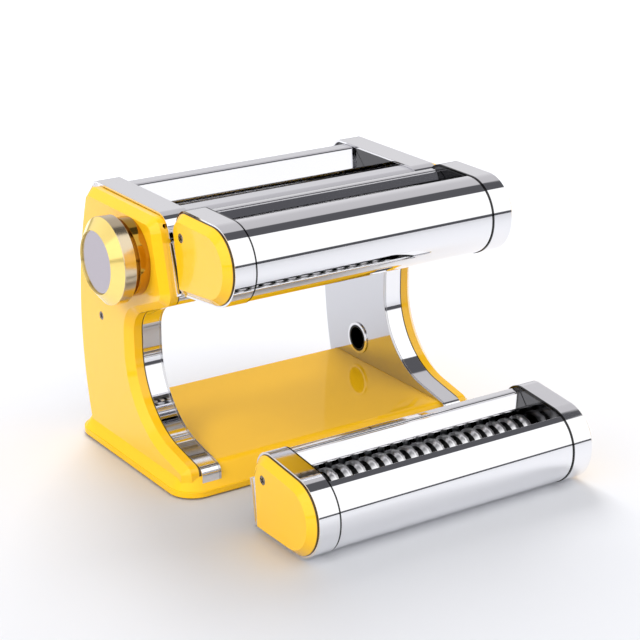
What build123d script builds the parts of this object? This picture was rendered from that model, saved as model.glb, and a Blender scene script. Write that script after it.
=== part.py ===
from build123d import *
import math
import os

# Roller pasta machine with a cutter head on its front and a second cutter head beside it.
# Millimetres. X runs along the rollers, +Y to the back, +Z up, origin under the middle of the base.

os.makedirs("parts", exist_ok=True)

# One overrun serves every cut
overrun = 2.0

# Base pan
base_width = 204.5
base_margin = 3.7
base_depth = 126.0
base_height = 16.4
base_corner = 14.5
base_flank_degrees = 35.0
base_edge_round = 5.0
base_wall = 1.6
base_lip = 0.8
base_lip_height = 4.6
base_clearance = 1.2

# Rubber feet: one at each corner and one under the middle
foot_radius = 8.0
foot_inset = 20.0

# Uprights: one outline serves plate, frame and cheek
upright_top = 152.0
upright_low = 4.0
front_lean_degrees = 14.0
front_top_y = -30.25
head_floor_front = 106.0
throat_slope_degrees = 21.7
waist_y = 2.75
toe_front_y = -60.6
toe_height = 15.8
toe_slope_degrees = 11.5
back_top_y = 53.5
back_bulge_y = 67.5
back_bulge_z = 79.0
back_foot_y = 57.5
front_top_round = 10.0
head_floor_round = 8.0
throat_round = 16.0
waist_round = 48.0
toe_round = 5.0
back_top_round = 8.0
plate_thickness = 1.5
frame_width = 10.5
frame_wall = 2.6
cheek_thickness = 9.8
cheek_wall = 2.6
cheek_back_inset = 4.5
cheek_top_inset = 0.4
cheek_toe_inset = 2.4
cheek_edge_chamfer = 4.2
latch_hole_radius = 1.3
latch_hole_inset = 2.4
latch_hole_drop = 4.5

# Chrome bands over the top of the uprights
band_sheet = 1.4
band_overhang_in = 1.6
band_overhang_out = 1.8
band_low = 141.0

# Rollers
roller_radius = 14.0
roller_end_gap = 0.8
roller_axis_y = -5.25
roller_axis_z = 125.3
roller_gap_open = 2.8
roller_gap_travel = 2.6
journal_radius = 5.0
running_clearance = 0.05
bush_wall = 3.0
bush_length = 4.2
drive_journal_radius = 7.0
drive_journal_recess = 1.0
crank_socket_radius = 3.6
crank_socket_depth = 14.0
crank_bush_wall = 2.5
crank_bush_flange = 2.0
crank_bush_flange_height = 1.0

# Meshing gears with long teeth, which stay in mesh while the roller gap changes
gear_teeth = 12
gear_tip_radius = 16.4
gear_root_radius = 11.4
gear_width = 4.0
gear_offset = 4.9
tooth_root_half_degrees = 6.5
tooth_tip_half_degrees = 2.2

# Carriage that moves the rear roller, worked by the dial's cam
carriage_sheet = 3.0
carriage_height = 26.0
carriage_left_offset = 4.8
carriage_right_offset = 0.8
carriage_rod_radius = 3.5
carriage_rod_reach = 18.6
carriage_end_margin = 6.0
cam_radius = 7.0
cam_throw = 1.32
cam_start_degrees = 10.0
cam_clearance = 0.4
yoke_rim = 4.0
slot_clearance = 0.1

# Tie rods and scrapers
tie_rod_radius = 4.0
tie_rod_z = 106.5
tie_rod_front_y = -19.0
tie_rod_rear_y = 38.0
nut_radius = 6.5
nut_thickness = 4.0
scraper_sheet = 0.8
scraper_gap = 0.3
scraper_lean_degrees = 25.0

# Hopper sheets between the uprights
cover_sheet = 1.2
cover_bend = 3.0
hopper_front_y = -14.5
hopper_back_y = 35.5
hopper_lip_z = 141.5
hopper_slope_run = 10.5
front_cover_low = 117.0
rear_cover_low = 91.0
rear_cover_bend = 40.0
rear_cover_inset = 8.0

# Thickness dial on the left cheek
dial_boss_radius = 22.0
dial_boss_height = 6.2
dial_neck_radius = 19.5
dial_neck_height = 3.0
dial_hub_radius = 9.0
dial_rim_radius = 24.5
dial_rim_height = 7.0
dial_bevel_height = 5.4
dial_face_radius = 17.6
dial_gap = 0.4
dial_wall = 2.4
dial_back = 2.4
dial_cap_recess = 1.2
dial_cap_thickness = 1.6
dial_shaft_radius = 5.0
dial_square = 7.6
dial_square_clearance = 0.08
dial_washer_radius = 8.0
dial_washer_thickness = 1.4
dial_spring_radius = 6.6
dial_spring_wire = 0.8
detent_pin_radius = 1.5
detent_pin_place = 16.0
detent_pin_length = 1.2
detent_track = 2.2

# Table clamp hole in the right upright
clamp_hole_y = 29.5
clamp_hole_z = 30.5
clamp_hole_radius = 6.8
clamp_bush_wall = 1.3
clamp_bush_flange = 1.9
clamp_bush_flange_height = 0.9
clamp_bush_length = 10.5

# Screws that hold the cheeks and the base
cheek_screw_radius = 2.6
cheek_screw_head = 1.0
cheek_screw_shank = 1.5
cheek_screw_length = 8.0
cheek_screw_y = 33.5
cheek_screw_z = 79.0

# Rails on the front of the uprights, which carry the cutter head
rail_seat_z = 110.8
rail_offset = 9.55
rail_width = 9.4
rail_depth = 4.6
rail_wall = 1.5
rail_length = 29.0
rail_slot = 3.6
rail_clearance = 0.3
tongue_length = 27.0
tongue_root = 3.0

# Cutter heads: one section and one set of sizes serve both
head_tilt_degrees = 6.0
head_back_lean_degrees = 3.6
head_depth = 57.3
head_height = 48.6
head_top_slope_degrees = 6.0
head_round_heel = 3.0
head_round_crest = 12.0
head_brow_share = 0.505
head_chin_share = 0.525
head_end_gap = 0.45
head_band_width = 13.2
head_band_sheet = 1.2
head_plate = 2.0
head_cover_thickness = 4.6
head_cover_inset = 1.2
head_cover_chamfer = 4.2
head_screw_share = 0.185
head_screw_rise = 10.9
head_screw_reach = 2.6
guard_inset = 0.4
guard_sheet = 1.0
fine_guard_reach = 20.8
wide_guard_reach = 12.0
guard_bottom_reach = 21.3
guard_hem = 3.6
back_sheet = 1.0
back_sheet_bend = 2.4
back_sheet_gap = 1.4
back_lip_reach = 2.1
back_knee_drop = 15.0
back_edge_u = 3.4
back_rim_share = 0.171
back_rim_drop = 4.2
back_plate_lip = 1.6
back_lip_bend = 0.7
fine_plate_gap = 3.9
wide_plate_gap = 2.2
fine_plate_lean_degrees = 0.0
wide_plate_lean_degrees = 16.0

# Cutter rollers: both axes stand at shares of the head's section, and the radii follow from their spacing
cutter_front_share = 0.6824
cutter_rear_share = 0.3124
ring_overlap = 0.4
ring_height = 2.8
cutter_axis_share = 0.4712
cutter_end_gap = 0.8
cutter_journal_radius = 4.0
cutter_ring_clearance = 0.2
cutter_bush_wall = 2.0
cutter_bush_length = 3.4
cutter_gear_teeth = 10
cutter_gear_overlap = 0.8
cutter_gear_root_gap = 1.9
cutter_gear_width = 4.0
cutter_gear_offset = 3.8
cutter_socket_depth = 6.8
cutter_drive_radius = 5.2
fine_strip = 2.5
fine_sides = 10
wide_strip = 4.3
wide_sides = 12
comb_sheet = 1.2
comb_gap = 0.5
comb_foot_share = 0.068

# Where the second head stands
loose_shift_x = 5.0
loose_heel_y = -112.0

# Values worked out from the sizes above
cheek_outer = base_width / 2 - base_margin
frame_outer = cheek_outer - cheek_thickness
plate_outer = frame_outer - frame_width
bench_half = plate_outer - plate_thickness
front_lean = math.radians(front_lean_degrees)
slope_normal = (0, -math.cos(front_lean), math.sin(front_lean))
rear_axis_y = roller_axis_y + 2 * roller_radius + roller_gap_open
head_inner_half = bench_half - head_end_gap
head_plate_outer = head_inner_half + head_plate
head_band_outer = head_inner_half + head_band_width
head_outer = head_band_outer + head_cover_thickness
cutter_axis_w = head_height * cutter_axis_share
cutter_front_u = head_depth * cutter_front_share
cutter_rear_u = head_depth * cutter_rear_share
cutter_pitch_radius = (cutter_front_u - cutter_rear_u) / 2
cutter_radius = cutter_pitch_radius + ring_overlap
cutter_core_radius = cutter_radius - ring_height
cutter_gear_tip_radius = cutter_pitch_radius + cutter_gear_overlap
cutter_gear_root_radius = cutter_pitch_radius - cutter_gear_root_gap
guard_bottom_u = head_depth - guard_bottom_reach
back_rim_u = head_depth * back_rim_share
back_lip_u = cutter_rear_u + back_lip_reach


def x_prism(face, x_from, x_to):
    """Extrude a face drawn in (y, z) from one x to another."""
    return extrude(Plane.YZ.offset(x_from) * face, amount=x_to - x_from)


def x_rod(radius, y, z, x_from, x_to):
    """A round bar along X."""
    return x_prism(Pos(y, z) * Circle(radius), x_from, x_to)


def block(low, high):
    """A box between two corners."""
    size = [b - a for a, b in zip(low, high)]
    return Pos(*low) * Box(*size, align=(Align.MIN, Align.MIN, Align.MIN))


def left_of(shape):
    """The same piece on the other side."""
    return mirror(shape, about=Plane.YZ)


def sheet(path, thickness, half_length):
    """A bent sheet that follows a path in (y, z) and runs between two ends along X."""
    return x_prism(trace(path, thickness), -half_length, half_length)


def save(name, *shapes):
    """Write one node, of one solid or a group of separate ones."""
    solids = [solid for shape in shapes for solid in shape.solids()]
    export_step(solids[0] if len(solids) == 1 else Compound(solids), f"parts/{name}.step")


def front_line_y(z):
    """Where the leaning front of the machine stands at a height."""
    return front_top_y - (upright_top - z) * math.tan(front_lean)


def upright_face(back_inset, top_inset, toe_inset):
    """Side outline of an upright: head, throat, waist and toe, with a bulging back."""
    top = upright_top - top_inset
    floor_front = (front_line_y(head_floor_front), head_floor_front)
    throat_drop = (waist_y - floor_front[0]) * math.tan(math.radians(throat_slope_degrees))
    toe_rise = (waist_y - toe_front_y) * math.tan(math.radians(toe_slope_degrees))
    toe_y = toe_front_y + toe_inset
    toe_z = toe_height + toe_inset * math.tan(math.radians(toe_slope_degrees))
    start = (back_top_y - back_inset, top)
    end = (back_foot_y - back_inset, upright_low)
    points = [
        start,
        (front_line_y(top), top),
        floor_front,
        (waist_y, head_floor_front - throat_drop),
        (waist_y, toe_height + toe_rise),
        (toe_y, toe_z),
        (toe_y, upright_low),
        end,
    ]
    radii = [front_top_round, head_floor_round, throat_round, waist_round, toe_round, 0]
    front = FilletPolyline(*points, radius=radii)
    back = ThreePointArc(end, (back_bulge_y - back_inset, back_bulge_z), start)
    face = make_face(front + back)
    corner = face.vertices().sort_by_distance((*start, 0))[0]
    return fillet(corner, back_top_round)


def gear(teeth, tip_radius, root_radius, bore_radius, y, z, x_from, width, turn_degrees):
    """A spur gear with straight tapered teeth on an axis along X."""
    points = []
    for tooth in range(teeth):
        middle = 360 / teeth * tooth + turn_degrees
        for radius, offset in (
            (root_radius, -tooth_root_half_degrees),
            (tip_radius, -tooth_tip_half_degrees),
            (tip_radius, tooth_tip_half_degrees),
            (root_radius, tooth_root_half_degrees),
        ):
            angle = math.radians(middle + offset)
            points.append((y + radius * math.cos(angle), z + radius * math.sin(angle)))
    blank = make_face(Polyline(*points, close=True))
    return x_prism(blank - Pos(y, z) * Circle(bore_radius), x_from, x_from + width)


# Base pan: pressed shell with sloping flanks, a rounded top edge and a beaded lip
def base_outline(growth):
    return RectangleRounded(base_width + 2 * growth, base_depth + 2 * growth, base_corner + growth)


def base_body(inset):
    """The pan's outside, or its inside one wall further in."""
    skirt_low = base_clearance - (overrun if inset else 0)
    skirt = extrude(Pos(0, 0, skirt_low) * base_outline(-inset), amount=base_lip_height - skirt_low)
    rise = base_height - inset - base_lip_height
    flank_place = Pos(0, 0, base_lip_height) * base_outline(-inset)
    flank = extrude(flank_place, amount=rise, taper=base_flank_degrees)
    flank = fillet(flank.faces().sort_by(Axis.Z)[-1].edges(), base_edge_round - inset)
    return skirt + flank


base_outside = base_body(0)
base_inside = base_body(base_wall)
lip = extrude(Pos(0, 0, base_clearance) * base_outline(base_lip), amount=base_lip_height - base_clearance)
base_pan = base_outside + lip - base_inside

foot_places = [Pos(0, 0)] + [
    Pos(side_x * (base_width / 2 - foot_inset), side_y * (base_depth / 2 - foot_inset))
    for side_x in (-1, 1)
    for side_y in (-1, 1)
]
feet = [
    place * extrude(Circle(foot_radius), amount=base_height - base_wall) for place in foot_places
]
save("base_pan", base_pan)
save("rubber_feet", *feet)

# Uprights: polished inner plate, chrome frame rim and yellow cheek on each side
plate_face = upright_face(0, 0, 0)
cheek_face = upright_face(cheek_back_inset, cheek_top_inset, cheek_toe_inset)
rod_places = [(tie_rod_front_y, tie_rod_z), (tie_rod_rear_y, tie_rod_z)]
carriage_rod_y = rear_axis_y + carriage_rod_reach
bush_radius = journal_radius + running_clearance + bush_wall


def travel_slot(radius, y):
    """A level slot that lets a round piece move forward by the roller's travel."""
    reach = roller_gap_travel + 2 * slot_clearance
    slot = SlotOverall(reach + 2 * (radius + running_clearance), 2 * (radius + running_clearance))
    return Pos(y - roller_gap_travel / 2, roller_axis_z) * slot


plate_openings = [
    Pos(roller_axis_y, roller_axis_z) * Circle(bush_radius),
    travel_slot(bush_radius, rear_axis_y),
    travel_slot(carriage_rod_radius, carriage_rod_y),
]
plate_openings += [Pos(*place) * Circle(tie_rod_radius) for place in rod_places]
clamp_opening = Pos(clamp_hole_y, clamp_hole_z) * Circle(clamp_hole_radius + clamp_bush_wall)

left_plate = x_prism(plate_face - plate_openings, -plate_outer, -bench_half) - base_outside
right_openings = plate_openings + [clamp_opening]
right_plate = x_prism(plate_face - right_openings, bench_half, plate_outer) - base_outside
save("left_inner_plate", left_plate)
save("right_inner_plate", right_plate)

rim_face = plate_face - offset(plate_face, amount=-frame_wall)
right_frame = x_prism(rim_face, plate_outer, frame_outer) - base_outside
save("right_frame", right_frame)
save("left_frame", left_of(right_frame))


def cheek_blank():
    """A dished cover with a bevelled outer edge, open towards the frame."""
    body = x_prism(cheek_face, frame_outer, cheek_outer)
    rim = body.faces().sort_by(Axis.X)[-1].edges()
    rim = rim.filter_by(lambda edge: edge.center().Z > upright_low + overrun / 2)
    body = chamfer(rim, cheek_edge_chamfer)
    hollow_face = offset(cheek_face, amount=-frame_wall)
    hollow = x_prism(hollow_face, frame_outer - overrun, cheek_outer - cheek_wall)
    bevel = hollow.faces().sort_by(Axis.X)[-1].edges()
    return body - chamfer(bevel, cheek_edge_chamfer / 2) - base_outside


latch_z = upright_top - latch_hole_drop
latch_spot = (frame_outer + latch_hole_inset, front_line_y(latch_z), latch_z)
latch_plane = Plane(latch_spot, x_dir=(1, 0, 0), z_dir=slope_normal)
latch_hole = latch_plane * extrude(Circle(latch_hole_radius), amount=frame_wall + overrun, both=True)
cheek = cheek_blank() - latch_hole
screw_place = Pos(cheek_screw_y, cheek_screw_z)
screw_foot = cheek_outer - cheek_screw_head
screw_cone = loft([
    Plane.YZ.offset(cheek_outer) * (screw_place * Circle(cheek_screw_radius)),
    Plane.YZ.offset(screw_foot) * (screw_place * Circle(cheek_screw_shank)),
])
screw_end = cheek_outer - cheek_screw_length
cheek_screw = screw_cone + x_prism(screw_place * Circle(cheek_screw_shank), screw_end, screw_foot)
crank_bush_radius = drive_journal_radius + running_clearance + crank_bush_wall
crank_opening = x_rod(
    crank_bush_radius, roller_axis_y, roller_axis_z, frame_outer, cheek_outer + overrun
)
boss_opening = x_rod(dial_hub_radius, roller_axis_y, roller_axis_z, frame_outer, cheek_outer + overrun)
save("right_cheek", cheek - crank_opening - cheek_screw)
save("left_cheek", left_of(cheek - boss_opening - cheek_screw))
save("cheek_screws", cheek_screw, left_of(cheek_screw))

# Chrome bands that cap the uprights and turn down at both ends
band_face = offset(plate_face, amount=band_sheet) - plate_face
band_window = Pos(0, band_low) * Rectangle(
    2 * base_depth, upright_top, align=(Align.CENTER, Align.MIN)
)
right_band = x_prism(
    band_face & band_window, bench_half - band_overhang_in, frame_outer + band_overhang_out
)
save("right_top_band", right_band)
save("left_top_band", left_of(right_band))

# Hopper: bent sheets before and behind the rollers
half_sheet = cover_sheet / 2
cover_top = upright_top - half_sheet
front_shift = half_sheet / math.cos(front_lean)
front_cover_path = FilletPolyline(
    (hopper_front_y + hopper_slope_run, hopper_lip_z),
    (hopper_front_y, cover_top),
    (front_line_y(cover_top) + front_shift, cover_top),
    (front_line_y(front_cover_low) + front_shift, front_cover_low),
    radius=[cover_bend, front_top_round - half_sheet],
)
save("front_cover", sheet(front_cover_path, cover_sheet, bench_half))

rear_shift = rear_cover_inset + half_sheet
rear_cover_path = FilletPolyline(
    (hopper_back_y - hopper_slope_run, hopper_lip_z),
    (hopper_back_y, cover_top),
    (back_top_y - rear_shift, cover_top),
    (back_bulge_y - rear_shift, back_bulge_z + (upright_top - back_bulge_z) / 2),
    (back_bulge_y - rear_shift, rear_cover_low),
    radius=[cover_bend, cover_bend, rear_cover_bend],
)
save("rear_cover", sheet(rear_cover_path, cover_sheet, bench_half))

# Smooth rollers with their bushes and gears
roller_half = bench_half - roller_end_gap
gear_start = plate_outer + gear_offset
gear_end = gear_start + gear_width
drive_end = cheek_outer - drive_journal_recess
socket_floor = drive_end - crank_socket_depth
front_roller = (
    x_rod(roller_radius, roller_axis_y, roller_axis_z, -roller_half, roller_half)
    + x_rod(journal_radius, roller_axis_y, roller_axis_z, -bench_half - bush_length, -roller_half)
    + x_rod(journal_radius, roller_axis_y, roller_axis_z, roller_half, gear_end)
    + x_rod(drive_journal_radius, roller_axis_y, roller_axis_z, gear_end, drive_end)
    - x_rod(crank_socket_radius, roller_axis_y, roller_axis_z, socket_floor, drive_end + overrun)
)
save("front_roller", front_roller)

carriage_left_far = plate_outer + carriage_left_offset + carriage_sheet
carriage_right_far = plate_outer + carriage_right_offset + carriage_sheet
rear_roller = (
    x_rod(roller_radius, rear_axis_y, roller_axis_z, -roller_half, roller_half)
    + x_rod(journal_radius, rear_axis_y, roller_axis_z, -carriage_left_far, -roller_half)
    + x_rod(journal_radius, rear_axis_y, roller_axis_z, roller_half, gear_end)
)
save("rear_roller", rear_roller)

front_bush_face = Pos(roller_axis_y, roller_axis_z) * (
    Circle(bush_radius) - Circle(journal_radius + running_clearance)
)
front_bush = x_prism(front_bush_face, bench_half, bench_half + bush_length)
save("front_roller_bushes", front_bush, left_of(front_bush))

half_pitch_degrees = 180 / gear_teeth
front_gear = gear(
    gear_teeth, gear_tip_radius, gear_root_radius, journal_radius,
    roller_axis_y, roller_axis_z, gear_start, gear_width, 0,
)
rear_gear = gear(
    gear_teeth, gear_tip_radius, gear_root_radius, journal_radius,
    rear_axis_y, roller_axis_z, gear_start, gear_width, 180 + half_pitch_degrees,
)
save("front_roller_gear", front_gear)
save("rear_roller_gear", rear_gear)

crank_bush_face = Circle(crank_bush_radius) - Circle(drive_journal_radius + running_clearance)
crank_flange_face = Circle(crank_bush_radius + crank_bush_flange) - Circle(
    drive_journal_radius + running_clearance
)
crank_place = Pos(roller_axis_y, roller_axis_z)
crank_bush = x_prism(crank_place * crank_bush_face, frame_outer, cheek_outer) + x_prism(
    crank_place * crank_flange_face, cheek_outer, cheek_outer + crank_bush_flange_height
)
save("crank_bush", crank_bush)

# Carriage: two side plates and a rod, guided by its bushes in the slots of the inner plates
carriage_bush_hole = Pos(rear_axis_y, roller_axis_z) * Circle(bush_radius)
carriage_rod_hole = Pos(carriage_rod_y, roller_axis_z) * Circle(carriage_rod_radius)
carriage_back = carriage_rod_y + carriage_rod_radius + carriage_end_margin / 2
cam_half = cam_radius + cam_clearance
cam_y = roller_axis_y + cam_throw * math.cos(math.radians(cam_start_degrees))
cam_z = roller_axis_z + cam_throw * math.sin(math.radians(cam_start_degrees))
yoke_front = cam_y - cam_half - yoke_rim
right_front = rear_axis_y - bush_radius - carriage_end_margin / 2


def carriage_plate(front_y):
    width = carriage_back - front_y
    face = RectangleRounded(width, carriage_height, carriage_end_margin)
    return Pos(front_y + width / 2, roller_axis_z) * face - carriage_bush_hole - carriage_rod_hole


yoke = Pos(cam_y, roller_axis_z) * Rectangle(2 * cam_half, 2 * (cam_half + cam_throw))
left_carriage = x_prism(
    carriage_plate(yoke_front) - yoke, -carriage_left_far, -plate_outer - carriage_left_offset
)
right_carriage = x_prism(
    carriage_plate(right_front), plate_outer + carriage_right_offset, carriage_right_far
)
save("carriage_left_plate", left_carriage)
save("carriage_right_plate", right_carriage)
carriage_rod = x_rod(
    carriage_rod_radius, carriage_rod_y, roller_axis_z, -carriage_left_far, carriage_right_far
)
save("carriage_rod", carriage_rod)

carriage_bush_face = Pos(rear_axis_y, roller_axis_z) * (
    Circle(bush_radius) - Circle(journal_radius + running_clearance)
)
save(
    "carriage_bushes",
    x_prism(carriage_bush_face, -carriage_left_far, -bench_half),
    x_prism(carriage_bush_face, bench_half, carriage_right_far),
)

# Tie rods with nuts, and a scraper blade under each roller
rod_end = plate_outer + nut_thickness
tie_rods = [x_rod(tie_rod_radius, *place, -rod_end, rod_end) for place in rod_places]
nut_face = RegularPolygon(nut_radius, 6) - Circle(tie_rod_radius)
nuts = [x_prism(Pos(*place) * nut_face, plate_outer, rod_end) for place in rod_places]
save("tie_rods", *tie_rods)
save("tie_rod_nuts", *nuts, *[left_of(nut) for nut in nuts])


def scraper(rod_place, axis_y, side):
    """A thin blade from a tie rod to just under its roller."""
    lean = math.radians(scraper_lean_degrees)
    reach = roller_radius + scraper_gap
    tip = (axis_y + side * reach * math.sin(lean), roller_axis_z - reach * math.cos(lean))
    along = Vector(tip[0] - rod_place[0], tip[1] - rod_place[1]).normalized()
    root = (rod_place[0] + along.X * tie_rod_radius, rod_place[1] + along.Y * tie_rod_radius)
    blade = sheet(Line(root, tip), scraper_sheet, roller_half)
    return blade - x_rod(tie_rod_radius, *rod_place, -bench_half, bench_half)


save(
    "scrapers",
    scraper(rod_places[0], roller_axis_y, -1),
    scraper(rod_places[1], rear_axis_y, 1),
)

# Thickness dial: fixed boss, square-ended cam shaft, and a knob that pulls out against a spring
dial_place = Pos(roller_axis_y, roller_axis_z)
boss_top = cheek_outer + dial_boss_height
neck_top = boss_top + dial_neck_height
knob_low = neck_top + dial_gap
knob_rim_top = knob_low + dial_rim_height
knob_top = knob_rim_top + dial_bevel_height
shaft_bore = dial_shaft_radius + running_clearance
pin_reach = neck_top + detent_pin_length


def dial_disc(radius, x_from, x_to):
    return x_prism(dial_place * Circle(radius), x_from, x_to)


def pin_at(radius, x_from, x_to):
    return x_rod(radius, roller_axis_y, roller_axis_z + detent_pin_place, x_from, x_to)


dial_boss = (
    dial_disc(dial_hub_radius, frame_outer, cheek_outer)
    + dial_disc(dial_boss_radius, cheek_outer, boss_top)
    + dial_disc(dial_neck_radius, boss_top, neck_top)
    + pin_at(detent_pin_radius, boss_top, pin_reach)
    - dial_disc(shaft_bore, frame_outer - overrun, neck_top + overrun)
)
save("dial_boss", left_of(dial_boss))

knob_profile = Polyline(
    (0, knob_low),
    (dial_rim_radius, knob_low),
    (dial_rim_radius, knob_rim_top),
    (dial_face_radius, knob_top),
    (dial_face_radius, knob_top - dial_cap_recess - dial_cap_thickness),
    (dial_face_radius - dial_wall, knob_top - dial_cap_recess - dial_cap_thickness),
    (dial_face_radius - dial_wall, knob_low + dial_back),
    (0, knob_low + dial_back),
    close=True,
)
knob_solid = revolve(Plane.XY * make_face(knob_profile), axis=Axis.Y)
knob_solid = Pos(0, roller_axis_y, roller_axis_z) * Rot(Z=-90) * knob_solid
square_hole = dial_place * Rectangle(
    dial_square + 2 * dial_square_clearance, dial_square + 2 * dial_square_clearance
)
track = dial_place * (
    Circle(detent_pin_place + detent_track) - Circle(detent_pin_place - detent_track)
)
knob = (
    knob_solid
    - x_prism(square_hole, knob_low - overrun, knob_top)
    - x_prism(track, knob_low - overrun, pin_reach + dial_gap)
)
save("dial_knob", left_of(knob))
cap_low = knob_top - dial_cap_recess - dial_cap_thickness
dial_cap = dial_disc(dial_face_radius, cap_low, cap_low + dial_cap_thickness)
save("dial_cap", left_of(dial_cap))

shaft_top = cap_low - dial_gap
washer_low = shaft_top - dial_washer_thickness
square_face = dial_place * Rectangle(dial_square, dial_square)
dial_shaft = (
    x_rod(cam_radius, cam_y, cam_z, plate_outer + carriage_left_offset, carriage_left_far)
    + dial_disc(dial_shaft_radius, carriage_left_far, neck_top)
    + x_prism(square_face, neck_top, shaft_top)
)
save("dial_shaft", left_of(dial_shaft))
washer = x_prism(dial_place * Circle(dial_washer_radius) - square_face, washer_low, shaft_top)
save("dial_washer", left_of(washer))
spring_face = dial_place * (
    Circle(dial_spring_radius) - Circle(dial_spring_radius - dial_spring_wire)
)
spring = x_prism(spring_face, knob_low + dial_back, washer_low)
save("dial_spring", left_of(spring))

# Flanged eyelet for the table clamp
clamp_place = Pos(clamp_hole_y, clamp_hole_z)
clamp_outer = clamp_hole_radius + clamp_bush_wall
eyelet = x_prism(
    clamp_place * (Circle(clamp_outer) - Circle(clamp_hole_radius)),
    bench_half, bench_half + clamp_bush_length,
) + x_prism(
    clamp_place * (Circle(clamp_outer + clamp_bush_flange) - Circle(clamp_hole_radius)),
    bench_half - clamp_bush_flange_height, bench_half,
)
save("clamp_eyelet", eyelet)

# Rails on the leaning front, drawn on its plane: x across, y up the slope, z outward
front_plane = Plane((0, front_line_y(rail_seat_z), rail_seat_z), x_dir=(1, 0, 0), z_dir=slope_normal)
rail_middle = plate_outer + rail_offset
rail_low_x = rail_middle - rail_width / 2
rail_high_x = rail_middle + rail_width / 2


def channel():
    body = block((rail_low_x, 0, 0), (rail_high_x, rail_length, rail_depth))
    hollow = block(
        (rail_low_x + rail_wall, rail_wall, rail_wall),
        (rail_high_x - rail_wall, rail_length + overrun, rail_depth - rail_wall),
    )
    slot = block(
        (rail_middle - rail_slot / 2, rail_wall, rail_wall),
        (rail_middle + rail_slot / 2, rail_length + overrun, rail_depth + overrun),
    )
    return body - hollow - slot


right_rail = front_plane * channel()
save("rails", right_rail, left_of(right_rail))


# Cutter heads, built about the heel of the section: x along, y back, z up
def head_section(inset, heel_round=head_round_heel):
    """Section of a cutter head: leaning back, sloping top, round nose and flat bottom."""
    lean = math.tan(math.radians(head_back_lean_degrees))
    slope = math.tan(math.radians(head_top_slope_degrees))
    crest = head_height / (1 - lean * slope)
    nose = head_height - head_depth * slope
    points = [
        (0, 0),
        (crest * lean, crest),
        (-head_depth, nose),
        (-head_depth, 0),
    ]
    radii = [heel_round, head_round_crest, nose * head_brow_share, nose * head_chin_share]
    face = make_face(FilletPolyline(*points, radius=radii, close=True))
    return offset(face, amount=-inset) if inset else face


def head_tongue():
    """T-shaped tongue on the back of a head, which slides down into the rail."""
    lean = front_lean - math.radians(head_tilt_degrees)
    back_plane = Plane((0, 0, 0), x_dir=(1, 0, 0), z_dir=(0, -math.cos(lean), math.sin(lean)))
    head_half = rail_width / 2 - rail_wall - rail_clearance
    stem_half = rail_slot / 2 - rail_clearance
    face_gap = rail_clearance
    inner = -face_gap - rail_depth + rail_wall + rail_clearance
    outer = -face_gap - rail_wall - rail_clearance
    low = rail_wall
    high = rail_wall + tongue_length
    cap = block((rail_middle - head_half, low, inner), (rail_middle + head_half, high, outer))
    stem = block((rail_middle - stem_half, low, outer), (rail_middle + stem_half, high, tongue_root))
    return back_plane * (cap + stem)


def ring_roller(strip, sides, shift, axis_u, driven, ring_count):
    """A cutter roller: a core with rings as wide as the gaps, less clearance."""
    half = head_inner_half - cutter_end_gap
    place = Pos(-axis_u, cutter_axis_w)
    core = x_prism(place * RegularPolygon(cutter_core_radius, sides), -half, half)
    pitch = 2 * strip
    ring_half = strip / 2 - cutter_ring_clearance
    ring_face = place * RegularPolygon(cutter_radius, sides)
    rings = []
    for index in range(ring_count):
        middle = (index - (ring_count - 1) / 2) * pitch + shift
        rings.append(x_prism(ring_face, middle - ring_half, middle + ring_half))
    gear_far = head_plate_outer + cutter_gear_offset + cutter_gear_width
    left_end = head_inner_half + cutter_bush_length
    journal = x_rod(cutter_journal_radius, -axis_u, cutter_axis_w, -left_end, -half)
    drive = x_rod(cutter_journal_radius, -axis_u, cutter_axis_w, half, gear_far)
    roller = core + rings + [journal, drive]
    if driven:
        drive_far = head_outer - drive_journal_recess
        roller += x_rod(cutter_drive_radius, -axis_u, cutter_axis_w, gear_far, drive_far)
        floor = drive_far - cutter_socket_depth
        roller -= x_rod(crank_socket_radius, -axis_u, cutter_axis_w, floor, drive_far + overrun)
    return roller


def comb(strip, ring_count, shift, axis_u):
    """A toothed stripper whose teeth reach between the rings of one roller."""
    half = head_inner_half
    low = head_height * comb_foot_share
    root = cutter_axis_w - cutter_radius - comb_gap
    tip = cutter_axis_w - cutter_core_radius - comb_gap
    middle_y = -axis_u
    bar = block((-half, middle_y - comb_sheet / 2, low), (half, middle_y + comb_sheet / 2, root))
    tooth_half = strip / 2 - comb_gap
    teeth = []
    for index in range(ring_count + 1):
        middle = (index - ring_count / 2) * 2 * strip + shift
        if abs(middle) + tooth_half < half:
            teeth.append(
                block(
                    (middle - tooth_half, middle_y - comb_sheet / 2, root),
                    (middle + tooth_half, middle_y + comb_sheet / 2, tip),
                )
            )
    return bar + teeth


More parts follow.
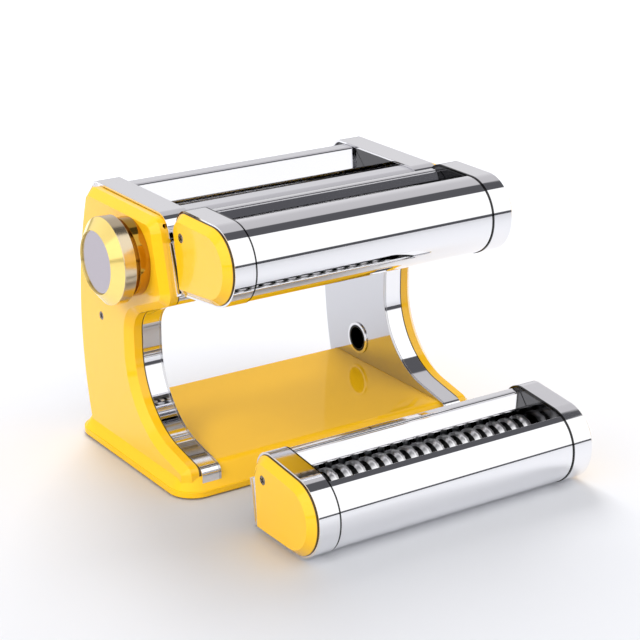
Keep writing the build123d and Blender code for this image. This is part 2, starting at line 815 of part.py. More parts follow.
def cutter_head(prefix, strip, sides, guard_reach, plate_gap, plate_lean_degrees, place):
    """Write every piece of one cutter head, set in its place."""
    section = head_section(0)
    inner_section = head_section(head_band_sheet)
    axes = [(-cutter_front_u, cutter_axis_w), (-cutter_rear_u, cutter_axis_w)]
    bush_outer = cutter_journal_radius + running_clearance + cutter_bush_wall
    bores = [Pos(*axis) * Circle(cutter_journal_radius + running_clearance) for axis in axes]
    collars = [Pos(*axis) * Circle(bush_outer) for axis in axes]
    plate = x_prism(inner_section - bores, head_inner_half, head_plate_outer)
    plate += x_prism(Sketch() + collars - bores, head_plate_outer, head_inner_half + cutter_bush_length)
    save(f"{prefix}_end_plates", place * plate, place * left_of(plate))

    band = x_prism(section - inner_section, head_inner_half, head_band_outer)
    band += head_tongue() - x_prism(section, head_inner_half, head_band_outer)
    save(f"{prefix}_left_band", place * left_of(band))
    save(f"{prefix}_right_band", place * band)

    cover = x_prism(head_section(head_cover_inset, 0), head_band_outer, head_outer)
    cover = chamfer(cover.faces().sort_by(Axis.X)[-1].edges(), head_cover_chamfer)
    screw_axis = (-head_depth * head_screw_share, cutter_axis_w + head_screw_rise)
    screw_seat = head_outer - cheek_screw_head
    screw = x_rod(cheek_screw_radius, *screw_axis, screw_seat, head_outer)
    screw += x_rod(cheek_screw_shank, *screw_axis, head_band_outer - head_screw_reach, screw_seat)
    socket = x_rod(
        cutter_drive_radius + running_clearance, *axes[0], head_band_outer - overrun, head_outer + overrun
    )
    save(f"{prefix}_left_cover", place * left_of(cover - screw))
    save(f"{prefix}_right_cover", place * (cover - screw - socket))
    save(f"{prefix}_cover_screws", place * screw, place * left_of(screw))

    guard_top_u = head_depth - guard_reach
    outside = head_section(guard_inset)
    inside = head_section(guard_inset + guard_sheet)
    high_cut = Pos(-guard_top_u, cutter_axis_w) * Rectangle(
        2 * head_depth, 2 * head_height, align=(Align.MIN, Align.MIN)
    )
    low_cut = Pos(-guard_bottom_u, -overrun) * Rectangle(
        2 * head_depth, 2 * head_height, align=(Align.MIN, Align.MIN)
    )
    hem_window = Pos(-guard_top_u, cutter_axis_w) * Rectangle(
        guard_sheet, head_height, align=(Align.MAX, Align.MIN)
    )
    hem = (outside - Pos(0, -guard_hem) * outside) & hem_window
    guard_face = outside - inside - high_cut - low_cut + hem
    guard = x_prism(guard_face, -head_inner_half, head_inner_half)
    save(f"{prefix}_guard", place * guard)

    lean = math.tan(math.radians(head_back_lean_degrees))
    knee = head_height - back_knee_drop
    rim = head_height - back_rim_drop
    plate_low = cutter_axis_w + cutter_radius + plate_gap
    plate_run = (rim - plate_low) * math.tan(math.radians(plate_lean_degrees))
    back_path = FilletPolyline(
        (-back_lip_u, back_sheet_gap),
        (-back_sheet_gap, back_sheet_gap),
        (knee * lean - back_sheet_gap, knee),
        (-back_edge_u, rim),
        (-back_rim_u, rim),
        (-back_rim_u - plate_run, plate_low),
        (-back_rim_u - plate_run - back_plate_lip, plate_low),
        radius=[back_sheet_bend] * 4 + [back_lip_bend],
    )
    save(f"{prefix}_back_plate", place * sheet(back_path, back_sheet, head_inner_half))

    ring_count = int((2 * head_inner_half - 2 * cutter_end_gap - strip) / (2 * strip))
    front = ring_roller(strip, sides, -strip / 2, cutter_front_u, True, ring_count)
    rear = ring_roller(strip, sides, strip / 2, cutter_rear_u, False, ring_count)
    save(f"{prefix}_front_cutter", place * front)
    save(f"{prefix}_rear_cutter", place * rear)
    save(
        f"{prefix}_combs",
        place * comb(strip, ring_count, -strip / 2, cutter_front_u),
        place * comb(strip, ring_count, strip / 2, cutter_rear_u),
    )

    gear_from = head_plate_outer + cutter_gear_offset
    for name, axis, turn in (("front", axes[0], 0), ("rear", axes[1], 180 + 180 / cutter_gear_teeth)):
        wheel = gear(
            cutter_gear_teeth, cutter_gear_tip_radius, cutter_gear_root_radius,
            cutter_journal_radius, *axis, gear_from, cutter_gear_width, turn,
        )
        save(f"{prefix}_{name}_gear", place * wheel)


# Fine cutter head on the rails, tilted with its top level
head_stand_off = rail_depth + rail_clearance
seat = Vector(0, front_line_y(rail_seat_z), rail_seat_z) + Vector(*slope_normal) * head_stand_off
fine_place = Pos(seat.X, seat.Y, seat.Z) * Rot(X=-head_tilt_degrees)
cutter_head(
    "fine", fine_strip, fine_sides, fine_guard_reach, fine_plate_gap, fine_plate_lean_degrees, fine_place
)

# Wide cutter head standing on the table in front
wide_place = Pos(loose_shift_x, loose_heel_y, 0)
cutter_head(
    "wide", wide_strip, wide_sides, wide_guard_reach, wide_plate_gap, wide_plate_lean_degrees, wide_place
)
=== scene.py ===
"""Roller pasta machine in yellow enamel and chrome: finishes, fittings and studio."""
import math

import bpy
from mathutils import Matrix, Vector


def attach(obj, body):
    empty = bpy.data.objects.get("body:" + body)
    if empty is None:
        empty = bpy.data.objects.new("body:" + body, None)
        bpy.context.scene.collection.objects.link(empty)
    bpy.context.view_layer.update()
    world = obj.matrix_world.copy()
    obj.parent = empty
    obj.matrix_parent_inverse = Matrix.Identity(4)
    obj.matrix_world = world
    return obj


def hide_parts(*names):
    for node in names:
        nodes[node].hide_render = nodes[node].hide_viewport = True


bl_info = {
    "name": "Pasta machine dressing",
    "version": (1, 0, 0),
    "blender": (4, 5, 0),
    "location": "View3D > Sidebar > Pasta machine",
    "description": "Finishes, screws, dial and studio for a roller pasta machine with two cutter heads",
    "category": "Object",
}

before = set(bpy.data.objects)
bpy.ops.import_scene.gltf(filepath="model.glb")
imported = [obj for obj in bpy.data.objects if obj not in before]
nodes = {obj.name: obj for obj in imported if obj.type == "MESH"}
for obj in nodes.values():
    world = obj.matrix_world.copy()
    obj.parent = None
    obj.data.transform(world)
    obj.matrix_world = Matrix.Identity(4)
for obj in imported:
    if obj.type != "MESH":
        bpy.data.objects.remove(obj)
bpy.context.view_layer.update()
MM = 0.001
# The next colour is painted shade and dirt down in the grooves of round pieces.
GROOVE_SHADE_AND_DIRT = (0.02, 0.02, 0.02, 1.0)
SEAM_BLACK = (0.05, 0.05, 0.05, 1.0)
GEAR_STEEL = (0.45, 0.45, 0.46)
BUSH_BRASS = (0.62, 0.46, 0.18)
FOOT_RUBBER = (0.03, 0.03, 0.03)
NUT_STEEL = (0.22, 0.21, 0.20)
SCREW_STEEL = (0.30, 0.27, 0.24)


# Measures of the solid pieces
def corners_of(node):
    return [corner.co for corner in nodes[node].data.vertices]


def box_of(corners):
    """The low and the high corner of the box round some corners."""
    low = Vector([min(c[i] for c in corners) for i in range(3)])
    high = Vector([max(c[i] for c in corners) for i in range(3)])
    return low, high


def round_of(node):
    """The axis, as Y and Z, and the radius of a round piece that lies along X."""
    low, high = box_of(corners_of(node))
    return (low.y + high.y) / 2, (low.z + high.z) / 2, (high.z - low.z) / 2


# Shader tools
class Wire:
    """A shader output that can be written in sums."""

    def __init__(self, finish, socket):
        self.finish = finish
        self.socket = socket

    def math(self, operation, first, second):
        return self.finish.node("ShaderNodeMath", {"operation": operation}, {0: first, 1: second})

    def __add__(self, other):
        return self.math("ADD", self, other)

    def __radd__(self, other):
        return self.math("ADD", other, self)

    def __sub__(self, other):
        return self.math("SUBTRACT", self, other)

    def __rsub__(self, other):
        return self.math("SUBTRACT", other, self)

    def __mul__(self, other):
        return self.math("MULTIPLY", self, other)

    def __truediv__(self, other):
        return self.math("DIVIDE", self, other)

    def rise(self, low, high):
        """0 below one value and 1 above another, with a smooth step between."""
        inputs = {"Value": self, "From Min": low, "From Max": high}
        return self.finish.node("ShaderNodeMapRange", {"interpolation_type": "SMOOTHSTEP"}, inputs)


class Finish:
    """A node tree being built: a surface finish, or the studio's surroundings."""

    def __init__(self, tree):
        self.tree = tree
        self.tree.nodes.clear()

    def node(self, kind, settings=None, inputs=None, out=0):
        """Add a node: its settings are set first, then its sockets are valued or linked."""
        made = self.tree.nodes.new(kind)
        for key, value in (settings or {}).items():
            if key == "stops":
                self.set_stops(made.color_ramp, value)
            else:
                setattr(made, key, value)
        for key, value in (inputs or {}).items():
            self.feed(made.inputs[key], value)
        return Wire(self, made.outputs[out]) if len(made.outputs) else made

    def set_stops(self, ramp, stops):
        while len(ramp.elements) < len(stops):
            ramp.elements.new(1.0)
        for element, (place, colour) in zip(ramp.elements, stops):
            element.position = place
            element.color = colour

    def feed(self, socket, value):
        if isinstance(value, Wire):
            self.tree.links.new(value.socket, socket)
        else:
            socket.default_value = value

    def coords(self):
        return self.node("ShaderNodeTexCoord", out="Object")

    def axis(self, vector, name):
        """One of a vector's coordinates."""
        return self.node("ShaderNodeSeparateXYZ", None, {"Vector": vector}, out=name)

    def placed(self, scale=(1, 1, 1), shift=(0, 0, 0)):
        """Object coordinates, stretched for a pattern that runs one way."""
        inputs = {"Vector": self.coords(), "Location": shift, "Scale": scale}
        return self.node("ShaderNodeMapping", {"vector_type": "POINT"}, inputs)

    def noise(self, vector, scale, detail=2.0, roughness=0.5):
        inputs = {"Vector": vector, "Scale": scale, "Detail": detail, "Roughness": roughness}
        return self.node("ShaderNodeTexNoise", {"noise_dimensions": "3D"}, inputs)

    def blend(self, low, high, share):
        """Mix two colours."""
        inputs = {"Factor": share, "A": low, "B": high}
        mixer = self.tree.nodes.new("ShaderNodeMix")
        mixer.data_type = "RGBA"
        for name, value in inputs.items():
            kind = "VALUE" if name == "Factor" else "RGBA"
            socket = next(s for s in mixer.inputs if s.name == name and s.type == kind)
            self.feed(socket, value)
        return Wire(self, next(s for s in mixer.outputs if s.type == "RGBA"))

    def bump(self, height, strength, distance):
        inputs = {"Height": height, "Strength": strength, "Distance": distance}
        return self.node("ShaderNodeBump", None, inputs)


def surface(name, build):
    """A material whose Principled sockets are given by build."""
    material = bpy.data.materials.new(f"noodle_{name}")
    material.use_nodes = True
    finish = Finish(material.node_tree)
    shader = finish.tree.nodes.new("ShaderNodeBsdfPrincipled")
    for key, value in build(finish).items():
        finish.feed(shader.inputs[key], value)
    output = finish.tree.nodes.new("ShaderNodeOutputMaterial")
    finish.tree.links.new(shader.outputs["BSDF"], output.inputs["Surface"])
    return material


def shade(colour, factor):
    return [min(1.0, channel * factor) for channel in colour[:3]] + [1.0]


# Finishes
def joint_share(finish, node, joint):
    """1 in the narrow joint along the inner face of a cheek or cover, 0 outside it."""
    low, high = box_of(corners_of(node))
    dark = 0.6 * joint
    x = finish.axis(finish.coords(), "X")
    if abs(high.x) < abs(low.x):
        return x.rise(high.x - joint, high.x - dark)
    return 1.0 - x.rise(low.x + dark, low.x + joint)


def enamel_finish(colour, haze, gloss, node=None, joint=0.0):
    """Gloss enamel with faint clouding and orange peel, dark in the joint with the metal behind."""

    def build(finish):
        cloud = finish.noise(finish.coords(), 18.0, 3.0)
        peel = finish.noise(finish.coords(), 700.0, 1.0)
        smear = finish.noise(finish.placed((1.0, 1.0, 3.0)), 26.0, 4.0)
        paint = finish.blend(shade(colour, 0.95), shade(colour, 1.05), cloud)
        if node:
            paint = finish.blend(paint, shade(colour, 0.08), joint_share(finish, node, joint))
        return {
            "Base Color": paint,
            "Roughness": 0.16 + smear * 0.10,
            "Specular IOR Level": haze,
            "Coat Weight": gloss,
            "Coat IOR": 1.5,
            "Coat Roughness": 0.015,
            "Normal": finish.bump(peel, 0.05, 0.0002),
        }

    return build


def chrome_finish(colour, low, high):
    """Bright plate: a mirror with faint haze that comes and goes."""

    def build(finish):
        haze = finish.noise(finish.placed((0.5, 1.0, 1.0)), 30.0, 4.0)
        tint = finish.noise(finish.coords(), 9.0, 2.0)
        return {
            "Base Color": finish.blend(shade(colour, 0.97), shade(colour, 1.02), tint),
            "Metallic": 1.0,
            "Roughness": low + haze * (high - low),
        }

    return build


def inner_plate_finish(colour, hopper_floor):
    """Polished steel, with a painted dark reflection where it closes the ends of the hopper."""
    fade = 4.0 * MM

    def build(finish):
        haze = finish.noise(finish.placed((1.0, 0.5, 1.0)), 30.0, 4.0)
        # Painted reflection: above the hopper floor the plates are darkened as if they mirrored the dark
        # rollers.
        painted_reflection = finish.axis(finish.coords(), "Z").rise(hopper_floor, hopper_floor + fade)
        bare_steel = finish.blend(shade(colour, 0.97), shade(colour, 1.03), haze)
        return {
            "Base Color": finish.blend(bare_steel, shade(colour, 0.18), painted_reflection),
            "Metallic": 1.0,
            "Roughness": 0.03 + haze * 0.04,
        }

    return build


def turned_finish(colour, low, high, lines):
    """Turned metal: fine rings round the X axis."""

    def build(finish):
        rings = finish.noise(finish.placed((lines, 1.0, 1.0)), 1.0, 2.0)
        wear = finish.noise(finish.coords(), 40.0, 3.0)
        return {
            "Base Color": finish.blend(shade(colour, 0.88), shade(colour, 1.06), rings),
            "Metallic": 1.0,
            "Roughness": low + wear * (high - low),
            "Normal": finish.bump(rings, 0.08, 0.0002),
        }

    return build


def rubber_finish(colour, low, high):
    """Matt rubber with a fine grain."""

    def build(finish):
        grain = finish.noise(finish.placed((1.0, 1.0, 12.0)), 160.0, 2.0)
        return {
            "Base Color": finish.blend(shade(colour, 0.95), shade(colour, 1.05), grain),
            "Roughness": low + grain * (high - low),
            "Normal": finish.bump(grain, 0.04, 0.0001),
        }

    return build


def crown_finish(colour, low, high, node, share):
    """Bright metal on the crown of a round piece that lies along X, and painted shade and dirt nearer
    its axis, down in its grooves.
    """
    axis_y, axis_z, radius = round_of(node)
    edge = share * share
    blur = 0.04

    def build(finish):
        place = finish.coords()
        across = finish.axis(place, "Y") - axis_y
        up = finish.axis(place, "Z") - axis_z
        reach = (across * across + up * up) / (radius * radius)
        crown = reach.rise(edge - blur, edge + blur)
        wear = finish.noise(place, 60.0, 3.0)
        bright = finish.blend(shade(colour, 0.9), shade(colour, 1.06), wear)
        return {
            # Painted shade and dirt: the metal turns dark towards the axis, where the grooves lie.
            "Base Color": finish.blend(GROOVE_SHADE_AND_DIRT, bright, crown),
            "Metallic": 1.0,
            "Roughness": low + wear * (high - low),
        }

    return build


def band_finish(colour, seam, left, right):
    """Chrome end bands with a dark joint next to each end of the guard."""
    blur = 0.3 * seam

    def build(finish):
        x = finish.axis(finish.coords(), "X")
        near_left = x.rise(left - seam - blur, left - seam) * (1.0 - x.rise(left, left + blur))
        near_right = x.rise(right - blur, right) * (1.0 - x.rise(right + seam, right + seam + blur))
        haze = finish.noise(finish.placed((0.5, 1.0, 1.0)), 34.0, 4.0)
        bright = finish.blend(shade(colour, 0.95), shade(colour, 1.03), haze)
        return {
            "Base Color": finish.blend(bright, SEAM_BLACK, near_left + near_right),
            "Metallic": 1.0,
            "Roughness": 0.02 + haze * 0.05,
        }

    return build


def dial_finish(lacquer, rim, rim_x):
    """Yellow lacquer on the dial's bevelled face, bright metal on the rim behind it, tinted gold as a
    painted reflection of the yellow cheek.
    """
    blur = 0.2 * MM

    def build(finish):
        face = 1.0 - finish.axis(finish.coords(), "X").rise(rim_x - blur, rim_x)
        streak = finish.noise(finish.placed((1.0, 3.0, 3.0), (0.0, 0.2, 0.0)), 14.0, 2.0)
        yellow = finish.blend(shade(lacquer, 0.9), shade(lacquer, 1.15), streak)
        return {
            "Base Color": finish.blend(shade(rim, 1.0), yellow, face),
            "Metallic": 1.0 - face * 0.45,
            "Roughness": 0.20 - face * (0.06 + streak * 0.06),
        }

    return build


# Settings a user would change
class PaintSettings(bpy.types.PropertyGroup):
    enamel: bpy.props.FloatVectorProperty(
        name="Enamel", description="Yellow of the base and cheeks", subtype="COLOR", size=3,
        default=(0.88, 0.490, 0.010), min=0.0, max=1.0)
    cover: bpy.props.FloatVectorProperty(
        name="Cover", description="Yellow of the cutter heads' end covers", subtype="COLOR", size=3,
        default=(0.88, 0.490, 0.010), min=0.0, max=1.0)
    dial: bpy.props.FloatVectorProperty(
        name="Dial", description="Yellow lacquer of the dial", subtype="COLOR", size=3,
        default=(0.95, 0.70, 0.22), min=0.0, max=1.0)
    cap: bpy.props.FloatVectorProperty(
        name="Dial cap", description="Grey of the dial's cap", subtype="COLOR", size=3,
        default=(0.50, 0.46, 0.50), min=0.0, max=1.0)
    base_gloss: bpy.props.FloatProperty(
        name="Base gloss", description="Weight of the clear gloss on the base", subtype="FACTOR",
        default=0.6, min=0.0, max=1.0)
    cover_gloss: bpy.props.FloatProperty(
        name="Cover gloss", description="Weight of the clear gloss on cheeks and covers",
        subtype="FACTOR", default=0.85, min=0.0, max=1.0)
    cover_haze: bpy.props.FloatProperty(
        name="Cover haze", description="Soft sheen under the gloss of cheeks and covers",
        subtype="FACTOR", default=0.15, min=0.0, max=1.0)


class MetalSettings(bpy.types.PropertyGroup):
    chrome: bpy.props.FloatVectorProperty(
        name="Chrome", description="Tint of the bright plate", subtype="COLOR", size=3,
        default=(0.90, 0.90, 0.92), min=0.0, max=1.0)
    steel: bpy.props.FloatVectorProperty(
        name="Polished steel", description="Tint of the polished sheets", subtype="COLOR", size=3,
        default=(0.84, 0.84, 0.87), min=0.0, max=1.0)
    turned: bpy.props.FloatVectorProperty(
        name="Turned metal", description="Tint of rollers and cutters", subtype="COLOR", size=3,
        default=(0.92, 0.92, 0.94), min=0.0, max=1.0)
    # The rim's gold tint is a painted reflection of the yellow cheek in its bright metal.
    rim: bpy.props.FloatVectorProperty(
        name="Dial rim", description="Tint of the dial's rim", subtype="COLOR", size=3,
        default=(0.72, 0.60, 0.42), min=0.0, max=1.0)
    # The boss and neck are polished steel; this gold-brown tint is a painted reflection of the yellow
    # cheek.
    boss_painted_reflection: bpy.props.FloatVectorProperty(
        name="Amber metal", description="Tint of the dial's boss and neck", subtype="COLOR", size=3,
        default=(0.52, 0.29, 0.04), min=0.0, max=1.0)
    cutter_crown: bpy.props.FloatProperty(
        name="Cutter crown", description="Share of a cutter's radius where its rings turn bright",
        subtype="FACTOR", default=0.84, min=0.5, max=1.0)
    eyelet_crown: bpy.props.FloatProperty(
        name="Eyelet crown", description="Share of the clamp eyelet's radius where its rim turns bright",
        subtype="FACTOR", default=0.83, min=0.5, max=1.0)
    edge_bevel: bpy.props.FloatProperty(
        name="Edge bevel", description="Small round on the edges of sheet and castings", unit="LENGTH",
        default=0.25 * MM, min=0.0, max=1.0 * MM)
    soft_bevel: bpy.props.FloatProperty(
        name="Soft bevel", description="Round on the edges of enamelled pieces", unit="LENGTH",
        default=0.9 * MM, min=0.0, max=2.0 * MM)
    band_bevel: bpy.props.FloatProperty(
        name="Band bevel", description="Round on the edges of the heads' end bands", unit="LENGTH",
        default=0.6 * MM, min=0.0, max=2.0 * MM)
    # The inner plates are darkened above this height: a painted reflection of the dark rollers inside
    # the hopper.
    hopper_floor: bpy.props.FloatProperty(
        name="Hopper floor", description="Height above which the inner plates are dark with oil",
        unit="LENGTH", default=130.0 * MM, min=100.0 * MM, max=150.0 * MM)
    joint: bpy.props.FloatProperty(
        name="Joint", description="Width of the dark joint behind cheeks and covers", unit="LENGTH",
        default=0.9 * MM, min=0.0, max=2.0 * MM)
    seam: bpy.props.FloatProperty(
        name="Seam", description="Width of the dark joint between a guard and its end bands",
        unit="LENGTH", default=0.9 * MM, min=0.0, max=2.0 * MM)


class PlateSettings(bpy.types.PropertyGroup):
    fine_fall: bpy.props.FloatProperty(
        name="Fine feed plate", description="Length of the sloping feed plate of the fine head",
        unit="LENGTH", default=5.6 * MM, min=1.0 * MM, max=12.0 * MM)
    wide_fall: bpy.props.FloatProperty(
        name="Wide feed plate", description="Length of the sloping feed plate of the wide head",
        unit="LENGTH", default=8.0 * MM, min=1.0 * MM, max=12.0 * MM)
    fine_lean: bpy.props.FloatProperty(
        name="Fine plate lean", description="Lean of the fine head's feed plate from upright",
        subtype="ANGLE", default=math.radians(57.0), min=0.0, max=math.radians(80.0))
    wide_lean: bpy.props.FloatProperty(
        name="Wide plate lean", description="Lean of the wide head's feed plate from upright",
        subtype="ANGLE", default=math.radians(40.0), min=0.0, max=math.radians(80.0))
    sheet: bpy.props.FloatProperty(
        name="Feed plate sheet", description="Thickness of the feed plates", unit="LENGTH",
        default=0.6 * MM, min=0.2 * MM, max=2.0 * MM)
    end_gap: bpy.props.FloatProperty(
        name="Feed plate gap", description="Clearance at each end of a feed plate", unit="LENGTH",
        default=0.3 * MM, min=0.0, max=3.0 * MM)


class ScrewSettings(bpy.types.PropertyGroup):
    dome: bpy.props.FloatProperty(
        name="Screw bevel", description="Round on the rim of a screw head", unit="LENGTH",
        default=0.35 * MM, min=0.0, max=1.0 * MM)
    head: bpy.props.FloatProperty(
        name="Screw head", description="Thickness of a screw head", unit="LENGTH",
        default=0.9 * MM, min=0.3 * MM, max=3.0 * MM)
    slot: bpy.props.FloatProperty(
        name="Slot width", description="Width of the arms of the cross recess", unit="LENGTH",
        default=0.8 * MM, min=0.1 * MM, max=2.0 * MM)
    slot_share: bpy.props.FloatProperty(
        name="Slot length", description="Length of the cross recess as a share of the head's width",
        default=0.72, min=0.2, max=0.95)
    slot_depth: bpy.props.FloatProperty(
        name="Slot depth", description="Depth of the cross recess", unit="LENGTH",
        default=0.6 * MM, min=0.1 * MM, max=2.0 * MM)
    slot_turn: bpy.props.FloatProperty(
        name="Slot turn", description="Turn of the cross recess", subtype="ANGLE",
        default=math.radians(20.0), min=0.0, max=math.radians(90.0))


class StageSettings(bpy.types.PropertyGroup):
    camera_place: bpy.props.FloatVectorProperty(
        name="Camera", description="Where the camera stands", subtype="TRANSLATION", unit="LENGTH",
        size=3, default=(-0.55865, -0.88025, 0.4459))
    camera_target: bpy.props.FloatVectorProperty(
        name="Target", description="What the camera looks at", subtype="TRANSLATION", unit="LENGTH",
        size=3, default=(-0.00075, -0.04375, 0.080))
    lens: bpy.props.FloatProperty(
        name="Lens", description="Focal length on a 36 mm sensor, in millimetres",
        default=106.9, min=20.0, max=300.0)
    floor_radius: bpy.props.FloatProperty(
        name="Floor radius", description="Radius of the pale floor", unit="LENGTH",
        default=4.0, min=1.0, max=20.0)
    key_power: bpy.props.FloatProperty(
        name="Key light", description="Power of the soft box on the left", unit="POWER",
        default=20.0, min=0.0, max=200.0)
    fill_power: bpy.props.FloatProperty(
        name="Fill light", description="Power of the soft box in front", unit="POWER",
        default=6.0, min=0.0, max=200.0)
    back_power: bpy.props.FloatProperty(
        name="Back light", description="Power of the soft box above and behind", unit="POWER",
        default=22.0, min=0.0, max=200.0)


# Dressing of the solid pieces
def dress(node, material, bevel=0.0, angle=40.0):
    """Give a solid its finish, smooth its curves and soften its edges."""
    piece = nodes[node]
    piece.data.materials.clear()
    piece.data.materials.append(material)
    for polygon in piece.data.polygons:
        polygon.use_smooth = True
    weld = piece.modifiers.new("weld", "WELD")
    weld.merge_threshold = 0.002 * MM
    if bevel:
        flatten = piece.modifiers.new("flatten", "DECIMATE")
        flatten.decimate_type = "DISSOLVE"
        flatten.angle_limit = math.radians(0.3)
        edge = piece.modifiers.new("edge", "BEVEL")
        edge.width = bevel
        edge.segments = 3
        edge.limit_method = "ANGLE"
        edge.angle_limit = math.radians(angle)
        edge.harden_normals = False
    normals = piece.modifiers.new("normals", "WEIGHTED_NORMAL")
    normals.keep_sharp = True
    normals.weight = 80


def dress_all(names, material, bevel=0.0, angle=40.0):
    for name in names:
        dress(name, material, bevel, angle)


def both_heads(*names):
    return [f"{head}_{name}" for head in ("fine", "wide") for name in names]


class NOODLE_OT_enamel(bpy.types.Operator):
    """Yellow enamel on the base and cheeks, yellow covers on the cutter heads"""

    bl_idname = "noodle.enamel"
    bl_label = "Enamel and covers"

    def execute(self, context):
        paint = context.scene.noodle_paint
        metal = context.scene.noodle_metal
        base = surface("yellow_enamel", enamel_finish(paint.enamel, 0.0, paint.base_gloss))
        dress("base_pan", base, metal.edge_bevel)
        colours = {"left_cheek": paint.enamel, "right_cheek": paint.enamel}
        colours.update({name: paint.cover for name in both_heads("left_cover", "right_cover")})
        for name, colour in colours.items():
            finish = enamel_finish(colour, paint.cover_haze, paint.cover_gloss, name, metal.joint)
            dress(name, surface(name, finish), metal.soft_bevel, 25.0)
        return {"FINISHED"}


class NOODLE_OT_chrome(bpy.types.Operator):
    """Chrome on frames, bands, guards and rails, polish on the sheets between"""

    bl_idname = "noodle.chrome"
    bl_label = "Chrome and polished sheets"

    def execute(self, context):
        metal = context.scene.noodle_metal
        chrome = surface("chrome", chrome_finish(metal.chrome, 0.015, 0.045))
        polish = surface("polished_steel", chrome_finish(metal.steel, 0.04, 0.09))
        bevel = metal.edge_bevel
        dress_all(["left_frame", "right_frame", "left_top_band", "right_top_band"], chrome, bevel)
        dress_all(["rails", "crank_bush"], chrome, bevel)
        eyelet = crown_finish(metal.chrome, 0.03, 0.08, "clamp_eyelet", metal.eyelet_crown)
        dress("clamp_eyelet", surface("eyelet", eyelet), bevel)
        dress_all(both_heads("guard", "back_plate"), chrome, bevel)
        for head in ("fine", "wide"):
            low, high = box_of(corners_of(f"{head}_guard"))
            seamed = surface(f"{head}_band", band_finish(metal.chrome, metal.seam, low.x, high.x))
            dress_all([f"{head}_left_band", f"{head}_right_band"], seamed, metal.band_bevel)
        dress_all(["front_cover", "rear_cover"], polish, bevel)
        inner = surface("inner_plate", inner_plate_finish(shade(metal.steel, 0.76), metal.hopper_floor))
        dress_all(["left_inner_plate", "right_inner_plate"], inner, bevel)
        dark = surface("end_plate", chrome_finish(shade(metal.steel, 0.16), 0.08, 0.16))
        dress_all(both_heads("end_plates"), dark, bevel)
        return {"FINISHED"}


class NOODLE_OT_plates(bpy.types.Operator):
    """Sloping feed plates that lead dough into the cutter heads"""

    bl_idname = "noodle.plates"
    bl_label = "Feed plates"

    def execute(self, context):
        settings = context.scene.noodle_plate
        steel = surface("feed_steel", chrome_finish(context.scene.noodle_metal.steel, 0.05, 0.12))
        slopes = {
            "fine": (settings.fine_fall, settings.fine_lean),
            "wide": (settings.wide_fall, settings.wide_lean),
        }
        for head, (fall, lean) in slopes.items():
            piece = self.plate(f"{head}_back_plate", fall, lean, settings)
            piece.name = f"{head}_feed_plate"
            piece.data.materials.append(steel)
            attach(piece, f"{head}_head")
        return {"FINISHED"}

    def plate(self, node, fall, lean, settings):
        """A narrow strip behind the rim's front edge, folded down along the slope."""
        corners = corners_of(node)
        edge = max(corners, key=lambda c: c.z - c.y)
        low, high = box_of(corners)
        left = low.x + settings.end_gap
        right = high.x - settings.end_gap
        strip = 2 * settings.sheet
        middle = Vector(((left + right) / 2, edge.y - strip / 2, edge.z))
        bpy.ops.object.select_all(action="DESELECT")
        bpy.ops.mesh.primitive_plane_add(size=1.0, location=middle)
        piece = bpy.context.object
        piece.scale = (right - left, strip, 1.0)
        bpy.ops.object.transform_apply(location=True, rotation=True, scale=True)
        front = min(corner.co.y for corner in piece.data.vertices)
        for corner in piece.data.vertices:
            corner.select = corner.co.y < front + strip / 2
        step = (0.0, -fall * math.sin(lean), -fall * math.cos(lean))
        bpy.ops.object.mode_set(mode="EDIT")
        bpy.ops.mesh.select_mode(type="VERT")
        bpy.ops.mesh.extrude_region_move(TRANSFORM_OT_translate={"value": step})
        bpy.ops.mesh.select_all(action="SELECT")
        bpy.ops.mesh.normals_make_consistent(inside=False)
        bpy.ops.object.mode_set(mode="OBJECT")
        thick = piece.modifiers.new("sheet", "SOLIDIFY")
        thick.thickness = settings.sheet
        thick.offset = -1.0
        bpy.ops.object.modifier_apply(modifier=thick.name)
        return piece


class NOODLE_OT_works(bpy.types.Operator):
    """Rollers, cutters, gears and the rest of the works"""

    bl_idname = "noodle.works"
    bl_label = "Rollers, cutters and works"

    def execute(self, context):
        metal = context.scene.noodle_metal
        turned = surface("turned_metal", turned_finish(metal.turned, 0.14, 0.26, 900.0))
        gear = surface("gear_steel", turned_finish(GEAR_STEEL, 0.30, 0.45, 500.0))
        brass = surface("bush_brass", turned_finish(BUSH_BRASS, 0.25, 0.40, 500.0))
        rubber = surface("foot_rubber", rubber_finish(FOOT_RUBBER, 0.6, 0.8))
        nut = surface("screw_steel", turned_finish(NUT_STEEL, 0.25, 0.45, 300.0))
        dress_all(["front_roller", "rear_roller"], turned)
        for name in both_heads("front_cutter", "rear_cutter"):
            dress(name, surface(name, crown_finish(metal.turned, 0.26, 0.36, name, metal.cutter_crown)))
        gears = ["front_roller_gear", "rear_roller_gear", "tie_rods", "scrapers"]
        gears += ["dial_shaft", "dial_washer", "dial_spring"]
        gears += ["carriage_left_plate", "carriage_right_plate", "carriage_rod"]
        dress_all(gears + both_heads("front_gear", "rear_gear", "combs"), gear)
        dress_all(["front_roller_bushes", "carriage_bushes"], brass)
        dress_all(["rubber_feet"], rubber)
        dress_all(["tie_rod_nuts"], nut)
        return {"FINISHED"}


